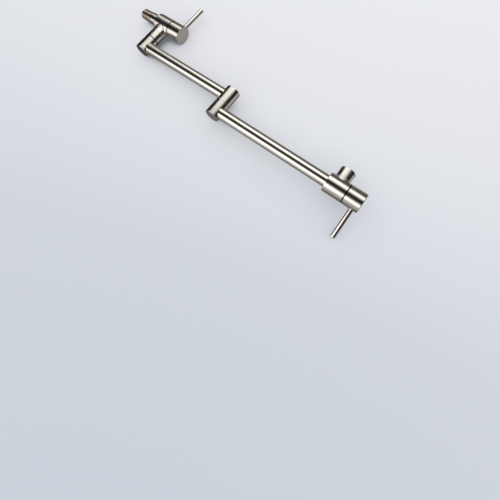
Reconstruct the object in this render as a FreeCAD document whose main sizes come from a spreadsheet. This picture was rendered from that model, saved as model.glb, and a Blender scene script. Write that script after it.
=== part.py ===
"""Wall mounted pot filler: two quarter-turn valves joined by a double-jointed pair of arms.

Millimetres. The origin is the centre of the inlet nipple's wall end. +X points out of the wall
along the nipple and the arms, +Z points up. Water enters the nipple, passes the wall valve's
ceramic discs, rises through its branch into the hollow shoulder spindle, runs along the lower
arm, through the hollow elbow spindle into the upper arm, and leaves through the spout valve's
discs and the aerator below it.
"""

import FreeCAD, Part
import os
import re
import Sketcher

doc = FreeCAD.newDocument("pot_filler")

# ---------------------------------------------------------------- driving dimensions

SIZES = {
    # fits between pieces
    "slip_gap": 0.05,            # radial gap of pieces that are screwed or pushed together
    "running_gap": 0.05,         # radial and end gap of pieces that turn in each other
    "seam_gap": 0.3,             # gap at the elbow's turning seam
    "handle_gap": 0.7,           # open line between a valve and its hub
    "shoulder_gap": 0.6,         # open line under the shoulder's head
    "edge_break": 0.4,           # chamfer on every machined edge
    # inlet nipple, half inch pipe thread
    "thread_radius": 10.67,
    "thread_length": 21.8,
    "neck_radius": 11.5,
    "neck_length": 23.5,
    "nipple_bore": 7.5,
    "spigot_wall": 2.0,
    # valve bodies, the same turned shell twice
    "valve_radius": 17.25,
    "valve_length": 36.2,
    "valve_wall": 4.05,
    "socket_depth": 6.0,
    "seat_thickness": 2.0,
    "seat_bore": 6.0,
    "branch_offset": 18.3,
    "saddle_radius": 2.0,
    # ceramic disc cartridge inside each valve
    "seal_thickness": 2.0,
    "seal_width": 2.6,
    "disc_radius": 8.0,
    "fixed_disc_height": 3.0,
    "moving_disc_height": 2.8,
    "port_radius": 2.3,
    "port_offset": 4.6,
    "slot_width": 3.0,
    "slot_depth": 1.2,
    "slot_length": 11.0,
    "sleeve_wall": 1.1,
    "window_height": 5.0,
    "window_width": 8.0,
    "flange_start": 19.2,
    "flange_height": 3.0,
    "collar_height": 3.8,
    "gland_height": 5.6,
    "key_notch": 3.0,
    "stem_radius": 4.5,
    "foot_radius": 3.2,
    "stem_ring_section": 0.55,
    "body_ring_section": 0.75,
    "clip_width": 1.6,
    "clip_height": 0.8,
    "clip_opening": 40.0,
    "flat_depth": 0.7,
    "flat_margin": 0.4,
    # handle: hub, lever rod and grub screw
    "hub_length": 28.85,
    "hub_wall": 3.0,
    "hub_cup": 9.0,
    "stem_grip": 16.5,           # how far the stem reaches into the hub
    "lever_offset": 19.15,
    "lever_radius": 4.2,
    "lever_reach": 72.0,
    "lever_seat": 4.0,
    "lever_tail_radius": 3.0,
    "lever_tail_gap": 0.3,
    "lever_chamfer": 0.5,
    "grub_radius": 2.5,
    "grub_offset": 12.6,
    "grub_recess": 1.0,
    "grub_key": 2.5,
    "spout_handle_turn": 29.0,   # degrees that the spout lever leans from straight up
    # shoulder swivel above the wall valve
    "branch_radius": 14.0,
    "branch_height": 26.4,
    "collar_top": 43.35,
    "arm_height": 62.6,
    "shoulder_crown": 12.9,      # lower arm's axis to the top of the shoulder
    "cap_height": 1.6,
    "cap_chamfer": 0.5,
    "cap_spigot": 1.0,
    "spindle_radius": 8.9,
    "spindle_bore": 5.5,
    "spindle_foot": 8.5,
    "foot_length": 8.4,
    "washer_width": 3.1,
    "washer_height": 1.2,
    "water_groove": 3.4,
    "groove_depth": 1.6,
    "cross_hole": 2.6,
    "ring_section": 0.9,
    "ring_near": 5.6,
    "ring_far": 11.0,
    "step_height": 7.9,
    "thrust_height": 0.6,
    "spindle_flange": 1.4,
    "flange_radius": 11.2,
    "key_width": 8.0,
    "key_depth": 2.6,
    # elbow swivel between the arms
    "elbow_radius": 14.3,
    "elbow_drop": 16.1,          # lower arm's axis to the elbow's bottom face
    "elbow_rise": 16.5,          # lower arm's axis to the turning seam
    "arm_step": 35.2,            # lower arm's axis to the upper arm's axis
    "elbow_crown": 13.9,         # upper arm's axis to the elbow's top face
    "plug_height": 5.5,
    "plug_key": 9.0,
    "plug_key_depth": 3.2,
    "plug_ring_section": 0.6,
    "chamber_radius": 8.95,
    # arms
    "arm_radius": 11.0,
    "arm_wall": 1.2,
    "cope_radius": 12.6,         # the tubes' ends are cut round to this about the joint axes
    "port_bore": 6.5,
    "lower_reach": 220.3,        # shoulder axis to elbow axis
    "upper_reach": 239.6,        # elbow axis to the spout valve's inlet face
    # outlet and aerator below the spout valve
    "outlet_root": 12.6,
    "outlet_tip": 13.4,
    "outlet_drop": 34.5,
    "outlet_bore": 7.5,
    "aerator_rim": 3.1,
    "aerator_radius": 13.6,
    "aerator_thread": 11.0,
    "aerator_depth": 10.0,
    "aerator_wall": 1.4,
    "mouth_radius": 8.8,
    "mouth_depth": 2.0,
    "gasket_height": 1.4,
    "gasket_width": 2.6,
    "screen_height": 1.0,
    "screen_hole": 0.9,
    "screen_ring": 5.6,
    "screen_holes": 10,
    "flow_plate": 2.0,
    "flow_hole": 0.8,
    "flow_ring": 5.0,
    "flow_holes": 8,
    "skirt_wall": 1.0,
}

# lengths worked out from the driving dimensions
DERIVED = {
    # places along the wall valve, from the inlet face
    "valve_start": "thread_length + neck_length",
    "spigot_radius": "nipple_bore + spigot_wall",
    "cavity_radius": "valve_radius - valve_wall",
    "cavity_start": "socket_depth + seat_thickness",
    "cavity_length": "valve_length - cavity_start",
    "hub_start": "valve_length + handle_gap",
    # places in the cavity, from its floor
    "sleeve_bore": "disc_radius + slip_gap",
    "sleeve_radius": "sleeve_bore + sleeve_wall",
    "discs_top": "seal_thickness + fixed_disc_height + moving_disc_height + running_gap",
    "flange_top": "flange_start + flange_height",
    "neck_top": "flange_top + collar_height",
    "sleeve_floor": "discs_top + window_height",
    "ring_height": "(sleeve_floor + flange_top) / 2",
    "stem_start": "discs_top - slot_depth + running_gap",
    "stem_length": "cavity_length + handle_gap + stem_grip - stem_start",
    # handle, from the valve's axis outwards
    "lever_root": "stem_radius + lever_tail_gap",
    "tail_length": "valve_radius - lever_seat - lever_root",
    "lever_length": "lever_reach - valve_radius + lever_seat",
    "grub_root": "stem_radius - flat_depth",
    "grub_length": "valve_radius - grub_recess - grub_root",
    # shoulder
    "shoulder_x": "valve_start + branch_offset",
    "head_start": "collar_top + shoulder_gap",
    "head_bore": "spindle_radius + running_gap",
    "step_bore": "flange_radius + running_gap",
    "shoulder_reach": "arm_height - branch_height",
    "shoulder_top": "arm_height + shoulder_crown - cap_height",
    "recess_depth": "washer_height + running_gap - seam_gap",
    "collar_recess": "washer_height + running_gap - shoulder_gap",
    "flange_seat": "step_height + thrust_height + running_gap",
    "washer_radius": "head_bore + washer_width",
    "groove_radius": "spindle_radius - groove_depth",
    # elbow
    "elbow_x": "shoulder_x + lower_reach",
    "elbow_seam": "arm_height + elbow_rise",
    "elbow_reach": "elbow_rise + seam_gap",
    "elbow_bottom": "arm_height - elbow_drop",
    "upper_height": "arm_height + arm_step",
    "elbow_top": "upper_height + elbow_crown",
    "upper_head_start": "elbow_seam + seam_gap",
    "upper_head_height": "elbow_top - cap_height - upper_head_start",
    # arms
    "socket_bore": "arm_radius + slip_gap",
    "upper_length": "upper_reach + socket_depth",
    "spout_x": "elbow_x + upper_reach",
    # outlet
    "boss_drop": "outlet_drop - aerator_rim",
    "thread_start": "boss_drop - aerator_depth",
    "aerator_bore": "aerator_thread - aerator_wall",
    "insert_radius": "aerator_bore - slip_gap",
    "mouth_start": "aerator_depth + aerator_rim - mouth_depth",
    "insert_length": "mouth_start - gasket_height - screen_height",
}

sheet = doc.addObject("Spreadsheet::Sheet", "Sizes")
for row, (alias, number) in enumerate(SIZES.items(), start=1):
    sheet.set(f"A{row}", alias.replace("_", " "))
    sheet.set(f"B{row}", str(number))
    sheet.setAlias(f"B{row}", alias)
doc.recompute()

WORD = re.compile(r"[a-z]+(?:_[a-z]+)+")


def formula(text):
    """Writes out the derived lengths in an expression, down to cells of the sheet."""
    def swap(match):
        word = match.group()
        return f"({formula(DERIVED[word])})" if word in DERIVED else f"Sizes.{word}"
    return WORD.sub(swap, text)


# ---------------------------------------------------------------- ways of making a piece

ALONG_X = FreeCAD.Rotation(FreeCAD.Vector(0, 1, 0), 90)          # local z runs to +X, local x down
UPSIDE_DOWN = FreeCAD.Rotation(FreeCAD.Vector(0, 1, 0), 180)     # local z down, local x to -X
UPRIGHT = FreeCAD.Rotation()
# local z runs to +X and local x up
BRANCH_UP = ALONG_X.multiply(FreeCAD.Rotation(FreeCAD.Vector(0, 0, 1), 180))

RIGHT_ANGLE = 90
STRAIGHT_DOWN = 180
PIECES = []


def place(piece, origin, turn=UPRIGHT):
    """Puts a piece at an origin given as three expressions."""
    piece.Placement = FreeCAD.Placement(FreeCAD.Vector(), turn)
    for axis, text in zip("xyz", origin):
        if text != "0":
            piece.setExpression(f"Placement.Base.{axis}", formula(text))
    PIECES.append(piece)
    return piece


def new_body(label):
    body = doc.addObject("PartDesign::Body", label)
    body.Label = label
    return body


def new_sketch(body, plane, shift="0", lift="0"):
    """A sketch on one of the body's own planes, moved along its second axis or its normal."""
    sketch = body.newObject("Sketcher::SketchObject", "Sketch")
    base = next(item for item in body.Origin.OriginFeatures if item.Role == plane)
    sketch.AttachmentSupport = [(base, "")]
    sketch.MapMode = "FlatFace"
    if shift != "0":
        sketch.setExpression("AttachmentOffset.Base.y", formula(shift))
    if lift != "0":
        sketch.setExpression("AttachmentOffset.Base.z", formula(lift))
    return sketch


def fix_point(sketch, line, first, second):
    """Ties a line's start to two expressions, measured from the sketch's origin."""
    for kind, text, axis in (("DistanceX", first, -2), ("DistanceY", second, -1)):
        if text == "0":
            sketch.addConstraint(Sketcher.Constraint("PointOnObject", line, 1, axis))
            continue
        index = sketch.addConstraint(Sketcher.Constraint(kind, -1, 1, line, 1, 10.0 + line))
        sketch.setExpression(f"Constraints[{index}]", formula(text))


def outline(sketch, points):
    """A closed outline of straight lines through points that are pairs of expressions."""
    count = len(points)
    ring = FreeCAD.Rotation(FreeCAD.Vector(0, 0, 1), 360.0 / count)
    corner = FreeCAD.Vector(10, 0, 0)
    middle = FreeCAD.Vector(20, 20, 0)
    for line in range(count):
        following = ring.multVec(corner)
        sketch.addGeometry(Part.LineSegment(middle + corner, middle + following), False)
        corner = following
    for line in range(count):
        sketch.addConstraint(Sketcher.Constraint("Coincident", line, 2, (line + 1) % count, 1))
    for line, (first, second) in enumerate(points):
        fix_point(sketch, line, first, second)


def circle(sketch, radius, first="0", second="0"):
    """A circle whose centre and radius are expressions."""
    start = FreeCAD.Vector(5 if first != "0" else 0, 5 if second != "0" else 0, 0)
    ring = sketch.addGeometry(Part.Circle(start, FreeCAD.Vector(0, 0, 1), 2), False)
    for kind, text, axis in (("DistanceX", first, -2), ("DistanceY", second, -1)):
        if text == "0":
            sketch.addConstraint(Sketcher.Constraint("PointOnObject", ring, 3, axis))
        else:
            index = sketch.addConstraint(Sketcher.Constraint(kind, -1, 1, ring, 3, 5.0))
            sketch.setExpression(f"Constraints[{index}]", formula(text))
    index = sketch.addConstraint(Sketcher.Constraint("Radius", ring, 2.0))
    sketch.setExpression(f"Constraints[{index}]", formula(radius))


def hexagon(sketch, across_flats):
    """A regular hexagon about the sketch's origin, from its width across the flats."""
    corner = f"({across_flats}) / 2 / cos(30)"
    half = f"({across_flats}) / 2"
    outline(sketch, [
        (corner, "0"), (f"{corner} / 2", half), (f"-{corner} / 2", half),
        (f"-{corner}", "0"), (f"-{corner} / 2", f"-{half}"), (f"{corner} / 2", f"-{half}"),
    ])


def rectangle(sketch, width, height, bottom):
    """A rectangle centred on the sketch's second axis, standing on the height bottom."""
    half = f"({width}) / 2"
    top = f"{bottom} + {height}"
    outline(sketch, [(half, bottom), (half, top), (f"-{half}", top), (f"-{half}", bottom)])


def checked(body, feature, adds):
    """Makes the feature and stops if it did not add or take material."""
    doc.recompute()
    before = feature.BaseFeature.Shape.Volume if feature.BaseFeature else 0.0
    change = feature.Shape.Volume - before
    if (change > 0) != adds or abs(change) < 1e-3:
        raise RuntimeError(f"{body.Label}: {feature.Label} changed the volume by {change:.4f}")
    return feature


def turned(label, points):
    """A turned piece: the outline (radius, height) revolved about the piece's own z axis."""
    body = new_body(label)
    sketch = new_sketch(body, "XZ_Plane")
    outline(sketch, points)
    feature = body.newObject("PartDesign::Revolution", "Turning")
    feature.Profile = sketch
    feature.ReferenceAxis = (sketch, ["V_Axis"])
    feature.Angle = 360
    checked(body, feature, adds=True)
    return body


def bored(body, points):
    """Turns a cavity about the piece's own z axis."""
    sketch = new_sketch(body, "XZ_Plane")
    outline(sketch, points)
    feature = body.newObject("PartDesign::Groove", "Bore")
    feature.Profile = sketch
    feature.ReferenceAxis = (sketch, ["V_Axis"])
    feature.Angle = 360
    return checked(body, feature, adds=False)


def turned_across(body, points, height, adds):
    """Turns a boss or a cavity about a cross axis: local x at a height on the z axis."""
    sketch = new_sketch(body, "XZ_Plane", shift=height)
    outline(sketch, points)
    kind = "PartDesign::Revolution" if adds else "PartDesign::Groove"
    feature = body.newObject(kind, "Boss" if adds else "CrossBore")
    feature.Profile = sketch
    feature.ReferenceAxis = (sketch, ["H_Axis"])
    feature.Angle = 360
    return checked(body, feature, adds)


def pocket(body, sketch, depth=None, reverse=False, both=False):
    """Cuts the sketch along its normal: against it, along it with reverse, or both ways."""
    feature = body.newObject("PartDesign::Pocket", "Pocket")
    feature.Profile = sketch
    feature.Midplane = both
    feature.Reversed = reverse
    if depth is None:
        feature.Type = "ThroughAll"
    else:
        feature.setExpression("Length", formula(depth))
    return checked(body, feature, adds=False)


def ring_of(body, feature, count):
    """Repeats a feature evenly around the piece's own z axis."""
    pattern = body.newObject("PartDesign::PolarPattern", "Ring")
    pattern.Originals = [feature]
    pattern.Axis = (feature.Profile[0], ["N_Axis"])
    pattern.Angle = 360
    pattern.setExpression("Occurrences", formula(count))
    body.Tip = pattern
    return checked(body, pattern, adds=False)


def tube(label, inner, outer, height, chamfer="0"):
    """A plain ring or sleeve, with broken outer edges where a chamfer is given."""
    if chamfer == "0":
        return turned(label, [(inner, "0"), (outer, "0"), (outer, height), (inner, height)])
    return turned(label, [
        (inner, "0"), (f"{outer} - {chamfer}", "0"), (outer, chamfer),
        (outer, f"{height} - {chamfer}"), (f"{outer} - {chamfer}", height), (inner, height),
    ])


def seal_ring(label, middle, section):
    """A round-section seal, drawn at the size it has once it is squeezed in."""
    ring = doc.addObject("Part::Torus", label)
    ring.setExpression("Radius1", formula(middle))
    ring.setExpression("Radius2", formula(section))
    return ring


# ---------------------------------------------------------------- inlet nipple

def inlet_nipple():
    """Male half inch nipple: pipe thread, plain neck and the spigot that enters the valve."""
    body = turned("inlet_nipple", [
        ("nipple_bore", "0"),
        ("thread_radius", "0"),
        ("thread_radius", "thread_length"),
        ("neck_radius - edge_break", "thread_length"),
        ("neck_radius", "thread_length + edge_break"),
        ("neck_radius", "valve_start - edge_break"),
        ("neck_radius - edge_break", "valve_start"),
        ("spigot_radius", "valve_start"),
        ("spigot_radius", "valve_start + socket_depth"),
        ("nipple_bore", "valve_start + socket_depth"),
    ])
    place(body, ("0", "0", "0"), ALONG_X)


# ---------------------------------------------------------------- quarter-turn valve

def valve_shell(body, socket):
    """Opens a valve body: inlet socket, seat wall and the cavity for the cartridge."""
    bored(body, [
        ("0", "0"), (socket, "0"), (socket, "socket_depth"), ("seat_bore", "socket_depth"),
        ("seat_bore", "cavity_start"), ("cavity_radius", "cavity_start"),
        ("cavity_radius", "valve_length"), ("0", "valve_length"),
    ])


def saddle_fillet(body, boss):
    """Rounds the saddle edge where the cross boss leaves the turned body."""
    edges = [
        f"Edge{number}" for number, edge in enumerate(boss.Shape.Edges, start=1)
        if edge.Curve.TypeId not in ("Part::GeomLine", "Part::GeomCircle")
    ]
    fillet = body.newObject("PartDesign::Fillet", "Saddle")
    fillet.Base = (boss, edges)
    fillet.setExpression("Radius", formula("saddle_radius"))
    checked(body, fillet, adds=True)


def wall_valve_body():
    """Tee body whose branch rises to carry the shoulder swivel."""
    body = tube("wall_valve_body", "0", "valve_radius", "valve_length", "edge_break")
    boss = turned_across(body, [
        ("0", "0"), ("0", "branch_radius"), ("branch_height - edge_break", "branch_radius"),
        ("branch_height", "branch_radius - edge_break"), ("branch_height", "0"),
    ], "branch_offset", adds=True)
    saddle_fillet(body, boss)
    valve_shell(body, "spigot_radius + slip_gap")
    turned_across(body, [
        ("0", "0"), ("0", "spindle_foot + slip_gap"),
        ("branch_height", "spindle_foot + slip_gap"), ("branch_height", "0"),
    ], "branch_offset", adds=False)
    place(body, ("valve_start", "0", "0"), BRANCH_UP)


def spout_valve_body():
    """The same tee body at the end of the upper arm, with the tapered outlet below."""
    body = tube("spout_valve_body", "0", "valve_radius", "valve_length", "edge_break")
    boss = turned_across(body, [
        ("0", "0"), ("0", "outlet_root"), ("boss_drop - edge_break", "outlet_tip"),
        ("boss_drop", "outlet_tip - edge_break"), ("boss_drop", "0"),
    ], "branch_offset", adds=True)
    saddle_fillet(body, boss)
    valve_shell(body, "socket_bore")
    turned_across(body, [
        ("0", "0"), ("0", "outlet_bore"), ("thread_start", "outlet_bore"),
        ("thread_start", "aerator_thread + slip_gap"),
        ("boss_drop", "aerator_thread + slip_gap"), ("boss_drop", "0"),
    ], "branch_offset", adds=False)
    place(body, ("spout_x", "0", "upper_height"), ALONG_X)


def fixed_disc(name):
    """Lower ceramic disc with the two water ports."""
    body = tube(name, "0", "disc_radius", "fixed_disc_height")
    sketch = new_sketch(body, "XY_Plane")
    circle(sketch, "port_radius", "port_offset")
    circle(sketch, "port_radius", "-port_offset")
    pocket(body, sketch, reverse=True)
    return body


def moving_disc(name):
    """Upper ceramic disc: the same ports, shut a quarter turn away, and the stem's slot."""
    body = tube(name, "0", "disc_radius", "moving_disc_height")
    ports = new_sketch(body, "XY_Plane")
    circle(ports, "port_radius", "0", "port_offset")
    circle(ports, "port_radius", "0", "-port_offset")
    pocket(body, ports, reverse=True)
    slot = new_sketch(body, "XY_Plane", lift="moving_disc_height")
    half = "(slot_length + 2 * slip_gap) / 2"
    side = "(slot_width + 2 * slip_gap) / 2"
    outline(slot, [(half, side), (f"-{half}", side), (f"-{half}", f"-{side}"), (half, f"-{side}")])
    pocket(body, slot, "slot_depth")
    return body


def cartridge_sleeve(name):
    """Cartridge body: disc chamber with two side windows, sealing flange and stem bearing."""
    body = turned(name, [
        ("sleeve_bore", "seal_thickness"),
        ("sleeve_radius", "seal_thickness"),
        ("sleeve_radius", "flange_start"),
        ("cavity_radius - slip_gap", "flange_start"),
        ("cavity_radius - slip_gap", "flange_start + flange_height / 2 - body_ring_section"),
        ("cavity_radius - slip_gap - 2 * body_ring_section",
         "flange_start + flange_height / 2 - body_ring_section"),
        ("cavity_radius - slip_gap - 2 * body_ring_section",
         "flange_start + flange_height / 2 + body_ring_section"),
        ("cavity_radius - slip_gap", "flange_start + flange_height / 2 + body_ring_section"),
        ("cavity_radius - slip_gap", "flange_top"),
        ("sleeve_radius", "flange_top"),
        ("sleeve_radius", "neck_top - edge_break"),
        ("sleeve_radius - edge_break", "neck_top"),
        ("stem_radius + running_gap", "neck_top"),
        ("stem_radius + running_gap", "sleeve_floor + 2 * running_gap"),
        ("sleeve_bore", "sleeve_floor + 2 * running_gap"),
    ])
    window = new_sketch(body, "YZ_Plane")
    rectangle(window, "window_width", "window_height", "discs_top")
    pocket(body, window, both=True)
    return body


def gland_nut(name):
    """Threaded ring that holds the cartridge down, with two notches for a pin spanner."""
    body = tube(name, "sleeve_radius + slip_gap", "cavity_radius - slip_gap", "gland_height")
    notch = new_sketch(body, "XZ_Plane")
    rectangle(notch, "key_notch", "key_notch", "gland_height - key_notch / 2")
    pocket(body, notch, both=True)
    return body


def valve_stem(name, flat_side):
    """Brass stem: blade in the disc's slot, foot, seal groove, clip groove and flatted end."""
    ring = "ring_height - stem_start"
    groove = "stem_radius - 2 * stem_ring_section"
    clip = "stem_radius - clip_width / 2"
    collar = "neck_top - stem_start + slip_gap"
    body = turned(name, [
        ("0", "slot_depth"),
        ("foot_radius", "slot_depth"),
        ("foot_radius", "sleeve_floor - stem_start - edge_break"),
        ("stem_radius + 2 * edge_break", "sleeve_floor - stem_start - edge_break"),
        ("stem_radius + 2 * edge_break", "sleeve_floor - stem_start + running_gap"),
        ("stem_radius", "sleeve_floor - stem_start + running_gap"),
        ("stem_radius", f"{ring} - stem_ring_section"),
        (groove, f"{ring} - stem_ring_section"),
        (groove, f"{ring} + stem_ring_section"),
        ("stem_radius", f"{ring} + stem_ring_section"),
        ("stem_radius", collar),
        (clip, collar),
        (clip, f"{collar} + clip_height"),
        ("stem_radius", f"{collar} + clip_height"),
        ("stem_radius", "stem_length - edge_break"),
        ("stem_radius - edge_break", "stem_length"),
        ("0", "stem_length"),
    ])
    blade = new_sketch(body, "XY_Plane")
    half, side = "slot_length / 2", "slot_width / 2"
    outline(blade, [(half, side), (f"-{half}", side), (f"-{half}", f"-{side}"), (half, f"-{side}")])
    pad = body.newObject("PartDesign::Pad", "Blade")
    pad.Profile = blade
    pad.setExpression("Length", formula("slot_depth + edge_break"))
    checked(body, pad, adds=True)
    flat = new_sketch(body, "XY_Plane", lift="stem_length")
    rectangle(flat, "2 * stem_radius", f"{flat_side}stem_radius", f"{flat_side}grub_root")
    pocket(body, flat, "stem_grip - grub_offset + grub_radius + flat_margin")
    return body


def stem_clip(name):
    """Open spring clip above the cartridge that keeps the stem from dropping inwards."""
    body = new_body(name)
    sketch = new_sketch(body, "XZ_Plane")
    inner, outer = "stem_radius - clip_width / 2", "stem_radius + clip_width / 2"
    outline(sketch, [(inner, "0"), (outer, "0"), (outer, "clip_height"), (inner, "clip_height")])
    feature = body.newObject("PartDesign::Revolution", "Clip")
    feature.Profile = sketch
    feature.ReferenceAxis = (sketch, ["V_Axis"])
    feature.setExpression("Angle", formula("360 - clip_opening"))
    checked(body, feature, adds=True)
    return body


def handle_hub(name, grub_reverse):
    """Hub: cup over the gland, solid core with the stem bore, lever socket and grub hole."""
    bore = "stem_grip + edge_break"
    body = turned(name, [
        ("0", bore),
        ("stem_radius + slip_gap", bore),
        ("stem_radius + slip_gap", "hub_cup"),
        ("valve_radius - hub_wall", "hub_cup"),
        ("valve_radius - hub_wall", "0"),
        ("valve_radius - edge_break", "0"),
        ("valve_radius", "edge_break"),
        ("valve_radius", "hub_length - edge_break"),
        ("valve_radius - edge_break", "hub_length"),
        ("0", "hub_length"),
    ])
    tail = new_sketch(body, "YZ_Plane", lift="-stem_radius")
    circle(tail, "lever_tail_radius + slip_gap", "0", "lever_offset")
    pocket(body, tail)
    seat = new_sketch(body, "YZ_Plane", lift="lever_seat - valve_radius")
    circle(seat, "lever_radius + slip_gap", "0", "lever_offset")
    pocket(body, seat)
    grub = new_sketch(body, "XZ_Plane")
    circle(grub, "grub_radius + slip_gap", "0", "grub_offset")
    pocket(body, grub, reverse=grub_reverse)
    return body


def lever_rod(name):
    """Straight lever rod with a screwed tail; its own z axis points away from the hub."""
    return turned(name, [
        ("0", "0"),
        ("lever_tail_radius - edge_break", "0"),
        ("lever_tail_radius", "edge_break"),
        ("lever_tail_radius", "tail_length"),
        ("lever_radius", "tail_length"),
        ("lever_radius", "tail_length + lever_length - lever_chamfer"),
        ("lever_radius - lever_chamfer", "tail_length + lever_length"),
        ("0", "tail_length + lever_length"),
    ])


def grub_screw(name):
    """Grub screw that bears on the stem's flat, with a hexagon socket outside."""
    body = turned(name, [
        ("0", "0"), ("grub_radius - edge_break", "0"), ("grub_radius", "edge_break"),
        ("grub_radius", "grub_length"), ("0", "grub_length"),
    ])
    key = new_sketch(body, "XY_Plane", lift="grub_length")
    hexagon(key, "grub_key")
    pocket(body, key, "grub_key")
    return body


def radially(piece, x, z, angle, root):
    """Places a piece that points away from a valve's axis, turned about +X from straight up."""
    turn = FreeCAD.Rotation(FreeCAD.Vector(1, 0, 0), angle)
    place(piece, (x, f"-sin({angle}) * {root}", f"{z} + cos({angle}) * {root}"), turn)


def valve(prefix, x, z, turn, handle_turn, lever_angle, grub_side):
    """The cartridge and the handle of one valve whose inlet face starts at x, at height z."""
    def along(distance):
        return (f"{x} + cavity_start + {distance}", "0", z)

    inside = (f"{x} + cavity_start", "0", z)
    spun = turn.multiply(FreeCAD.Rotation(FreeCAD.Vector(0, 0, 1), handle_turn))
    flat_side = "" if grub_side > 0 else "-"

    seal = tube(f"{prefix}_seat_seal", "disc_radius - seal_width", "disc_radius", "seal_thickness")
    place(seal, inside, turn)
    place(fixed_disc(f"{prefix}_fixed_disc"), along("seal_thickness"), turn)
    place(cartridge_sleeve(f"{prefix}_cartridge_sleeve"), inside, turn)
    ring = seal_ring(f"{prefix}_cartridge_ring",
                     "cavity_radius - slip_gap - body_ring_section", "body_ring_section")
    place(ring, along("flange_start + flange_height / 2"), turn)
    place(gland_nut(f"{prefix}_gland_nut"), along("flange_top"), turn)

    disc_start = "seal_thickness + fixed_disc_height + running_gap"
    place(moving_disc(f"{prefix}_moving_disc"), along(disc_start), spun)
    place(valve_stem(f"{prefix}_stem", flat_side), along("stem_start"), spun)
    ring = seal_ring(f"{prefix}_stem_ring", "stem_radius - stem_ring_section", "stem_ring_section")
    place(ring, along("ring_height"), spun)
    place(stem_clip(f"{prefix}_stem_clip"), along("neck_top + slip_gap"), spun)

    hub_x = f"{x} + hub_start"
    place(handle_hub(f"{prefix}_handle_hub", grub_side < 0), (hub_x, "0", z), spun)
    radially(lever_rod(f"{prefix}_lever"), f"{hub_x} + lever_offset", z, lever_angle, "lever_root")
    grub_angle = lever_angle - RIGHT_ANGLE * grub_side
    radially(grub_screw(f"{prefix}_grub_screw"), f"{hub_x} + grub_offset", z, grub_angle, "grub_root")


# ---------------------------------------------------------------- swivels

def swivel_spindle(name, reach):
    """Hollow spindle: screwed foot, seal grooves, water groove with cross holes, end flange.

    Its own z axis starts at the foot's end; reach runs from the foot's shoulder to the arm's axis.
    """
    arm = f"foot_length + {reach}"
    ring_floor = "spindle_radius - 2 * ring_section"
    points = [("spindle_bore", "0"), ("spindle_foot", "0"), ("spindle_foot", "foot_length"),
              ("spindle_radius", "foot_length")]

    def groove(floor, start, end):
        points.extend([("spindle_radius", start), (floor, start), (floor, end),
                       ("spindle_radius", end)])

    groove(ring_floor, f"{arm} - ring_far - ring_section", f"{arm} - ring_far + ring_section")
    groove(ring_floor, f"{arm} - ring_near - ring_section", f"{arm} - ring_near + ring_section")
    groove("groove_radius", f"{arm} - water_groove", f"{arm} + water_groove")
    groove(ring_floor, f"{arm} + ring_near - ring_section", f"{arm} + ring_near + ring_section")
    flange, top = f"{arm} + flange_seat", f"{arm} + flange_seat + spindle_flange"
    points.extend([
        ("spindle_radius", flange), ("flange_radius", flange), ("flange_radius", top), ("0", top),
        ("0", f"{arm} + water_groove"), ("spindle_bore", f"{arm} + water_groove"),
    ])
    body = turned(name, points)
    for plane in ("XZ_Plane", "YZ_Plane"):
        hole = new_sketch(body, plane)
        circle(hole, "cross_hole", "0", arm)
        pocket(body, hole, both=True)
    key = new_sketch(body, "XY_Plane", lift=top)
    hexagon(key, "key_width")
    pocket(body, key, "key_depth")
    return body


def spindle_rings(name, reach):
    """The three round seals of a spindle: two on the foot's side and one past the water groove."""
    members = []
    for count, distance in enumerate(("- ring_far", "- ring_near", "+ ring_near"), start=1):
        ring = seal_ring(f"{name}_{count}", "spindle_radius - ring_section", "ring_section")
        height = formula(f"foot_length + {reach} {distance}")
        ring.setExpression("Placement.Base.z", height)
        members.append(ring)
    group = doc.addObject("Part::Compound", name)
    group.Links = members
    return group


def arm_head(name, radius, height, arm):
    """A joint's head before boring: a turned block with the arm's socket in its side.

    The socket's floor is round about the joint's axis, so that the tube's coped end seats on it.
    """
    body = tube(name, "0", radius, height, "edge_break")
    socket_end = f"{radius} + edge_break"
    turned_across(body, [
        ("0", "0"), ("0", "socket_bore"), (socket_end, "socket_bore"), (socket_end, "0"),
    ], arm, adds=False)
    sketch = new_sketch(body, "XZ_Plane")
    core = "cope_radius - slip_gap"
    outline(sketch, [("0", "0"), (core, "0"), (core, height), ("0", height)])
    feature = body.newObject("PartDesign::Revolution", "Core")
    feature.Profile = sketch
    feature.ReferenceAxis = (sketch, ["V_Axis"])
    feature.Angle = 360
    checked(body, feature, adds=True)
    return body


def arm_port(body, radius, arm):
    """The water port from a head's bore out into the arm tube."""
    turned_across(body, [
        ("0", "0"), ("0", "port_bore"), (radius, "port_bore"), (radius, "0"),
    ], arm, adds=False)


def turning_head(name, radius, height, arm, recess):
    """Head that turns on a spindle: its own z axis starts at the turning seam."""
    body = arm_head(name, radius, height, arm)
    step = f"{arm} + step_height"
    points = [("0", "0"), ("head_bore", "0"), ("head_bore", step), ("step_bore", step),
              ("step_bore", height), ("0", height)]
    if recess:
        points[1:2] = [("washer_radius + slip_gap", "0"),
                       ("washer_radius + slip_gap", "recess_depth"), ("head_bore", "recess_depth")]
    bored(body, points)
    arm_port(body, radius, arm)
    return body


def wear_washer(name):
    """Low-friction washer that fills a turning seam from inside."""
    return tube(name, "spindle_radius + slip_gap", "washer_radius", "washer_height")


def thrust_washer(name):
    """Thin washer under a spindle's end flange."""
    return tube(name, "head_bore", "flange_radius", "thrust_height")


def end_cap(name, radius, spigot):
    """Flat cap of a head, with a bevelled rim and a spigot that is screwed into the bore."""
    return turned(name, [
        ("0", "0"), (spigot, "0"), (spigot, "cap_spigot"), (radius, "cap_spigot"),
        (radius, "cap_spigot + cap_height - cap_chamfer"),
        (f"{radius} - cap_chamfer", "cap_spigot + cap_height"), ("0", "cap_spigot + cap_height"),
    ])


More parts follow.
